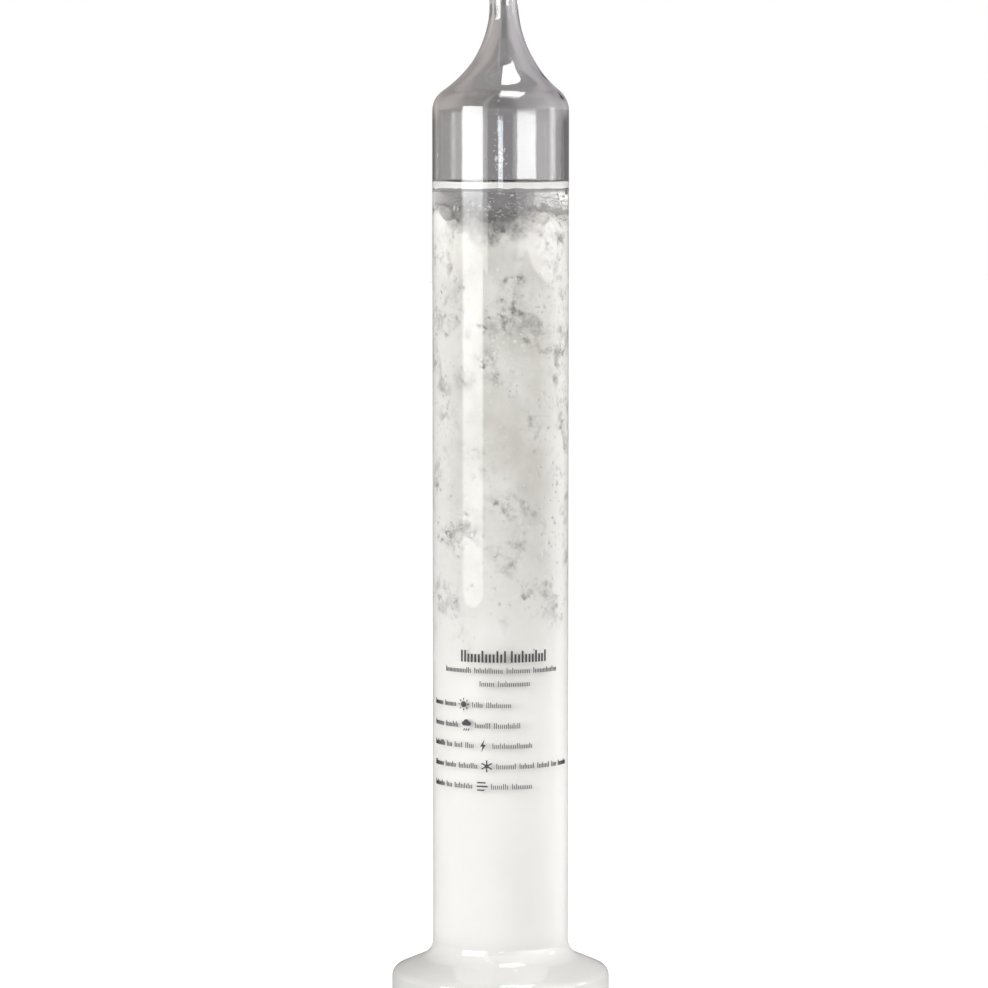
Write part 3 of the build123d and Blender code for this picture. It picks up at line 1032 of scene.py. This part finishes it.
def wrapped_outline(points):
    """A flat outline of (arc length, height) points as a thin patch of ink on the tube."""
    n = len(points)
    verts = []
    for radius in (INK_BASE, INK_TOP):
        for s, z in points:
            a = s / TUBE_RADIUS
            verts.append((radius * math.sin(a), -radius * math.cos(a), z))
    faces = [tuple(range(n, 2 * n)), tuple(range(n))[::-1]]
    faces += [(i, (i + 1) % n, n + (i + 1) % n, n + i) for i in range(n)]
    return np.array(verts), faces


def bar(s, z, length, height, turn=0.0):
    """A rectangle of ink about an arc length and a height, turned about its middle."""
    c, n = math.cos(turn), math.sin(turn)
    x, y = length / 2, height / 2
    corners = [(-x, -y), (x, -y), (x, y), (-x, y)]
    return wrapped_outline([(s + c * x - n * y, z + n * x + c * y) for x, y in corners])


def disc(s, z, radius, count=20):
    """A disc of ink, or a polygon where the count is low."""
    turns = [2 * math.pi * i / count for i in range(count)]
    return wrapped_outline([(s + radius * math.cos(a), z + radius * math.sin(a)) for a in turns])


def strokes(start, length, middle, height, weight):
    """A word's worth of plain upright ticks, a few taller than the rest."""
    count = max(3, round(length / (1.5 * weight + TICK_GAP)))
    parts = []
    for i in range(count):
        share = 1.0 if i == 0 or rng.uniform() < TALL_SHARE else SHORT_TICK
        middle_of_tick = middle - 0.5 * height * (1 - share)
        s = start + (i + 0.5) * length / count
        parts.append(bar(s, middle_of_tick, weight, share * height))
    return parts


def symbol(node, s, z):
    """A generic weather sign: a sun, a cloud with drops, a bolt, a snowflake or streaks of wind."""
    size = SYMBOL_SIZE
    if "fair" in node:
        rays = []
        for a in np.arange(8) * math.pi / 4:
            x, y = 0.42 * size * math.cos(a), 0.42 * size * math.sin(a)
            rays.append(bar(s + x, z + y, 0.16 * size, 0.07 * size, a))
        return [disc(s, z, 0.25 * size), *rays]
    if "rain" in node:
        z += 0.12 * size
        lobes = [(-0.22, 0.0, 0.18), (0.0, 0.1, 0.24), (0.24, 0.0, 0.17)]
        cloud = [disc(s + x * size, z + y * size, r * size) for x, y, r in lobes]
        drops = [
            bar(s + x * size, z - 0.5 * size, 0.2 * size, 0.07 * size, 1.2) for x in (-0.2, 0, 0.2)
        ]
        return [*cloud, bar(s, z - 0.09 * size, 0.5 * size, 0.18 * size), *drops]
    if "thunder" in node:
        bolt = [(0.12, 0.5), (-0.22, -0.06), (-0.02, -0.06), (-0.12, -0.5), (0.24, 0.1), (0.04, 0.1)]
        return [wrapped_outline([(s + x * size, z + y * size) for x, y in bolt])]
    if "snow" in node:
        turns = (math.pi / 2, math.pi / 6, -math.pi / 6)
        arms = [bar(s, z, 0.96 * size, 0.1 * size, a) for a in turns]
        return [*arms, disc(s, z, 0.17 * size, 6)]
    streaks = [(0.0, 0.3, 0.7), (0.06, 0.0, 0.9), (-0.06, -0.3, 0.6)]
    return [bar(s + x * size, z + y * size, long * size, 0.11 * size) for x, y, long in streaks]


def build_print():
    """The key on the front: lines of ticks, with a sign in each line that names weather."""
    for node, (start, before, after) in LINES.items():
        low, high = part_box(node)
        middle = (low.z + high.z) / 2
        height, weight = (3.0, 0.5) if node == "print_heading" else (1.4, 0.18)
        parts, s = [], start * MM
        for length in before:
            parts += strokes(s, length * MM, middle, height * MM, weight * MM)
            s += length * MM + WORD_GAP
        if after:
            parts += symbol(node, s + SYMBOL_SIZE / 2, middle)
            s += SYMBOL_SIZE + WORD_GAP
        for length in after:
            parts += strokes(s, length * MM, middle, height * MM, weight * MM)
            s += length * MM + WORD_GAP
        verts, faces = joined(*parts)
        mesh_piece(
            node + "_ink", verts, faces, [INK], "vessel", (node,), smooth=False
        )


build_camera()
build_world()
build_lights()
build_floor()
build_glass()
build_solution()
build_crystals()
build_crown()
build_loose()
build_surface_ring()
build_deposits()
build_print()

scene = bpy.context.scene
scene.view_settings.view_transform = "Standard"
scene.cycles.max_bounces = 24
scene.cycles.transmission_bounces = 16
scene.cycles.diffuse_bounces = 5
scene.cycles.transparent_max_bounces = 24
